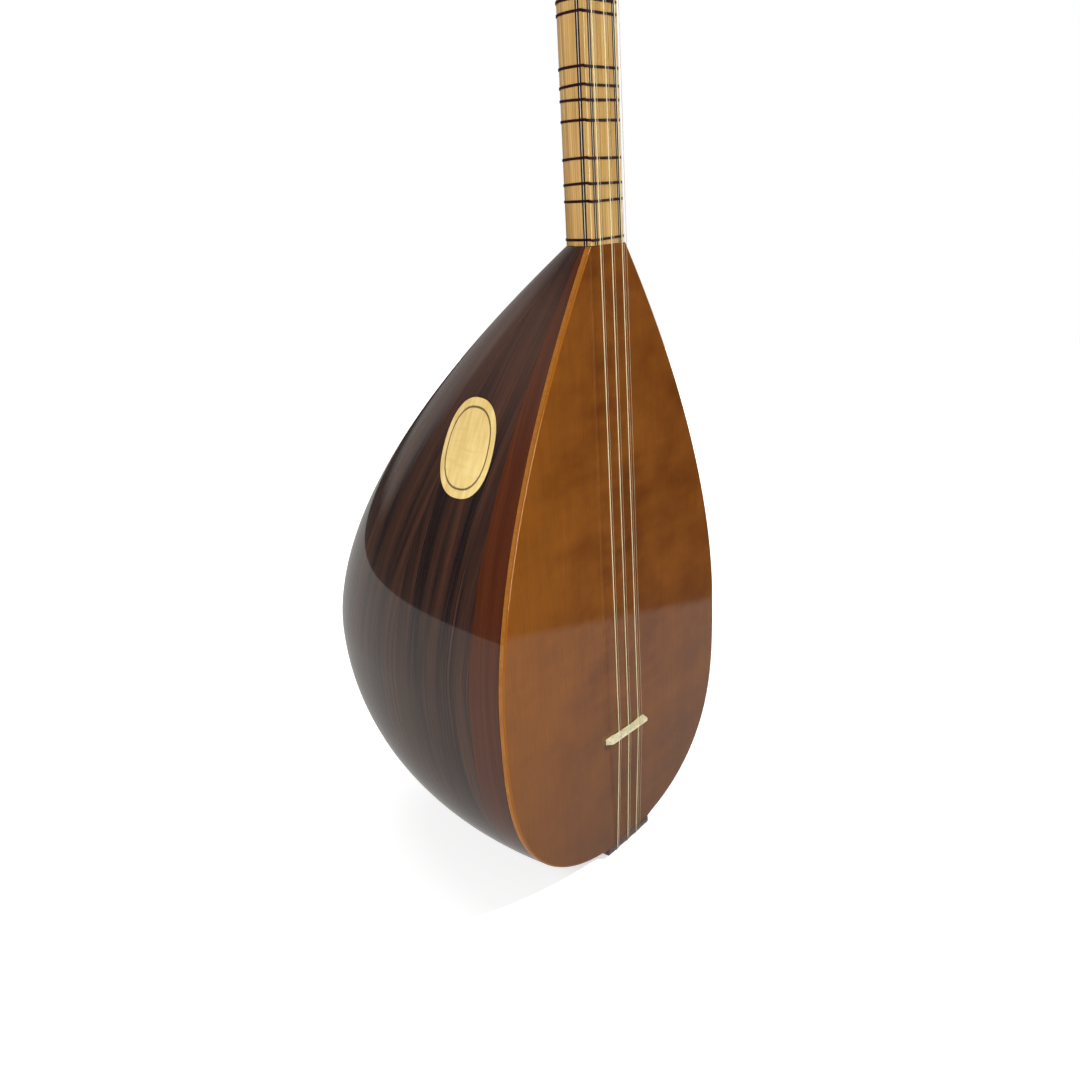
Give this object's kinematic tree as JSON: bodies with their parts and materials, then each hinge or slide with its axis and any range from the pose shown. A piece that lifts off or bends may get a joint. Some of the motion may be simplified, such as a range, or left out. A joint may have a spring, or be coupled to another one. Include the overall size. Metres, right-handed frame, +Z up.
{
  "type": "long-neck baglama",
  "caption": "Long-necked plucked lute with a deep staved pear-shaped bowl, flat soundboard, tied frets, strings in three courses and turning friction pegs.",
  "frame": {"origin": "on the instrument's centre line at the tail end of the soundboard's front face, where the stand's cradle holds it", "axes": "+Z up the neck, -Y out of the soundboard, +X to the treble side"},
  "size_m": [0.255, 0.2622, 1.1787],
  "materials": {
    "soundboard": "gloss lacquer over amber-stained spruce",
    "bowl_wood": "high-gloss lacquer over dark rosewood staves",
    "edge_stave_wood": "high-gloss lacquer over reddish rosewood",
    "block_wood": "bare wood, inside",
    "inlay_maple": "gloss lacquer over pale maple",
    "neck_wood": "satin lacquer over streaked pale wood",
    "fingerboard_wood": "satin lacquer",
    "filet_line": "black, white and black veneer line",
    "fret_line": "twisted dark nylon line",
    "nut_bone": "polished bone",
    "bridge_wood": "bare pale wood, satin",
    "tail_wood": "gloss dark wood",
    "peg_wood": "polished dark wood",
    "wound_string": "bright wound wire",
    "plain_string": "bright plain steel wire"
  },
  "bodies": {
    "instrument": {"soundboard": "soundboard", "bowl_stave_2": "bowl_wood", "bowl_stave_3": "bowl_wood", "bowl_stave_4": "bowl_wood", "bowl_stave_5": "bowl_wood", "bowl_stave_6": "bowl_wood", "bowl_stave_7": "bowl_wood", "bowl_stave_8": "bowl_wood", "bowl_stave_1": "edge_stave_wood", "bowl_stave_9": "edge_stave_wood", "neck_block": "block_wood", "tail_block": "block_wood", "oval_inlay": "inlay_maple", "neck": "neck_wood", "head": "neck_wood", "fingerboard": "fingerboard_wood", "neck_veneer": "filet_line", "bass_filet": "filet_line", "treble_filet": "filet_line", "nut": "nut_bone", "tailpiece": "tail_wood", "string_1": "wound_string", "string_3": "wound_string", "string_5": "wound_string", "string_2": "plain_string", "string_4": "plain_string", "string_6": "plain_string", "string_7": "plain_string"},
    "peg_1": {"peg_1": "peg_wood"},
    "peg_2": {"peg_2": "peg_wood"},
    "peg_3": {"peg_3": "peg_wood"},
    "peg_4": {"peg_4": "peg_wood"},
    "peg_5": {"peg_5": "peg_wood"},
    "peg_6": {"peg_6": "peg_wood"},
    "peg_7": {"peg_7": "peg_wood"},
    "fret_01": {"fret_01": "fret_line"},
    "fret_02": {"fret_02": "fret_line"},
    "fret_03": {"fret_03": "fret_line"},
    "fret_04": {"fret_04": "fret_line"},
    "fret_05": {"fret_05": "fret_line"},
    "fret_06": {"fret_06": "fret_line"},
    "fret_07": {"fret_07": "fret_line"},
    "fret_08": {"fret_08": "fret_line"},
    "fret_09": {"fret_09": "fret_line"},
    "fret_10": {"fret_10": "fret_line"},
    "fret_11": {"fret_11": "fret_line"},
    "fret_12": {"fret_12": "fret_line"},
    "fret_13": {"fret_13": "fret_line"},
    "fret_14": {"fret_14": "fret_line"},
    "fret_15": {"fret_15": "fret_line"},
    "fret_16": {"fret_16": "fret_line"},
    "fret_17": {"fret_17": "fret_line"},
    "fret_18": {"fret_18": "fret_line"},
    "fret_19": {"fret_19": "fret_line"},
    "fret_20": {"fret_20": "fret_line"},
    "fret_21": {"fret_21": "fret_line"},
    "fret_22": {"fret_22": "fret_line"},
    "fret_23": {"fret_23": "fret_line"},
    "fret_24": {"fret_24": "fret_line"},
    "bridge": {"bridge": "bridge_wood"}
  },
  "joints": [
    {"name": "peg_1_turn", "type": "hinge", "parent": "instrument", "child": "peg_1", "pos_m": [-0.01537, 0.02034, 1.03934], "axis": [-1, 0, 0], "continuous": true},
    {"name": "peg_2_turn", "type": "hinge", "parent": "instrument", "child": "peg_2", "pos_m": [-0.0152, 0.02694, 1.07677], "axis": [-1, 0, 0], "continuous": true},
    {"name": "peg_3_turn", "type": "hinge", "parent": "instrument", "child": "peg_3", "pos_m": [-0.01502, 0.03354, 1.11419], "axis": [-1, 0, 0], "continuous": true},
    {"name": "peg_4_turn", "type": "hinge", "parent": "instrument", "child": "peg_4", "pos_m": [0, 0.00621, 1.02254], "axis": [0, -0.9848, 0.1736], "continuous": true},
    {"name": "peg_5_turn", "type": "hinge", "parent": "instrument", "child": "peg_5", "pos_m": [0, 0.01281, 1.05997], "axis": [0, -0.9848, 0.1736], "continuous": true},
    {"name": "peg_6_turn", "type": "hinge", "parent": "instrument", "child": "peg_6", "pos_m": [0, 0.01941, 1.09739], "axis": [0, -0.9848, 0.1736], "continuous": true},
    {"name": "peg_7_turn", "type": "hinge", "parent": "instrument", "child": "peg_7", "pos_m": [0, 0.02601, 1.13481], "axis": [0, -0.9848, 0.1736], "continuous": true},
    {"name": "fret_01_shift", "type": "slide", "parent": "instrument", "child": "fret_01", "axis": [0, 0, 1], "range_m": [-0.002, 0.002]},
    {"name": "fret_02_shift", "type": "slide", "parent": "instrument", "child": "fret_02", "axis": [0, 0, 1], "range_m": [-0.002, 0.002]},
    {"name": "fret_03_shift", "type": "slide", "parent": "instrument", "child": "fret_03", "axis": [0, 0, 1], "range_m": [-0.002, 0.002]},
    {"name": "fret_04_shift", "type": "slide", "parent": "instrument", "child": "fret_04", "axis": [0, 0, 1], "range_m": [-0.002, 0.002]},
    {"name": "fret_05_shift", "type": "slide", "parent": "instrument", "child": "fret_05", "axis": [0, 0, 1], "range_m": [-0.002, 0.002]},
    {"name": "fret_06_shift", "type": "slide", "parent": "instrument", "child": "fret_06", "axis": [0, 0, 1], "range_m": [-0.002, 0.002]},
    {"name": "fret_07_shift", "type": "slide", "parent": "instrument", "child": "fret_07", "axis": [0, 0, 1], "range_m": [-0.002, 0.002]},
    {"name": "fret_08_shift", "type": "slide", "parent": "instrument", "child": "fret_08", "axis": [0, 0, 1], "range_m": [-0.002, 0.002]},
    {"name": "fret_09_shift", "type": "slide", "parent": "instrument", "child": "fret_09", "axis": [0, 0, 1], "range_m": [-0.002, 0.002]},
    {"name": "fret_10_shift", "type": "slide", "parent": "instrument", "child": "fret_10", "axis": [0, 0, 1], "range_m": [-0.002, 0.002]},
    {"name": "fret_11_shift", "type": "slide", "parent": "instrument", "child": "fret_11", "axis": [0, 0, 1], "range_m": [-0.002, 0.002]},
    {"name": "fret_12_shift", "type": "slide", "parent": "instrument", "child": "fret_12", "axis": [0, 0, 1], "range_m": [-0.002, 0.002]},
    {"name": "fret_13_shift", "type": "slide", "parent": "instrument", "child": "fret_13", "axis": [0, 0, 1], "range_m": [-0.002, 0.002]},
    {"name": "fret_14_shift", "type": "slide", "parent": "instrument", "child": "fret_14", "axis": [0, 0, 1], "range_m": [-0.002, 0.002]},
    {"name": "fret_15_shift", "type": "slide", "parent": "instrument", "child": "fret_15", "axis": [0, 0, 1], "range_m": [-0.002, 0.002]},
    {"name": "fret_16_shift", "type": "slide", "parent": "instrument", "child": "fret_16", "axis": [0, 0, 1], "range_m": [-0.002, 0.002]},
    {"name": "fret_17_shift", "type": "slide", "parent": "instrument", "child": "fret_17", "axis": [0, 0, 1], "range_m": [-0.002, 0.002]},
    {"name": "fret_18_shift", "type": "slide", "parent": "instrument", "child": "fret_18", "axis": [0, 0, 1], "range_m": [-0.002, 0.002]},
    {"name": "fret_19_shift", "type": "slide", "parent": "instrument", "child": "fret_19", "axis": [0, 0, 1], "range_m": [-0.002, 0.002]},
    {"name": "fret_20_shift", "type": "slide", "parent": "instrument", "child": "fret_20", "axis": [0, 0, 1], "range_m": [-0.002, 0.002]},
    {"name": "fret_21_shift", "type": "slide", "parent": "instrument", "child": "fret_21", "axis": [0, 0, 1], "range_m": [-0.002, 0.002]},
    {"name": "fret_22_shift", "type": "slide", "parent": "instrument", "child": "fret_22", "axis": [0, 0, 1], "range_m": [-0.002, 0.002]},
    {"name": "fret_23_shift", "type": "slide", "parent": "instrument", "child": "fret_23", "axis": [0, 0, 1], "range_m": [-0.002, 0.002]},
    {"name": "fret_24_shift", "type": "slide", "parent": "instrument", "child": "fret_24", "axis": [0, 0, 1], "range_m": [-0.002, 0.002]},
    {"name": "bridge_shift", "type": "slide", "parent": "instrument", "child": "bridge", "axis": [0, 0, 1], "range_m": [-0.002, 0.002]}
  ]
}
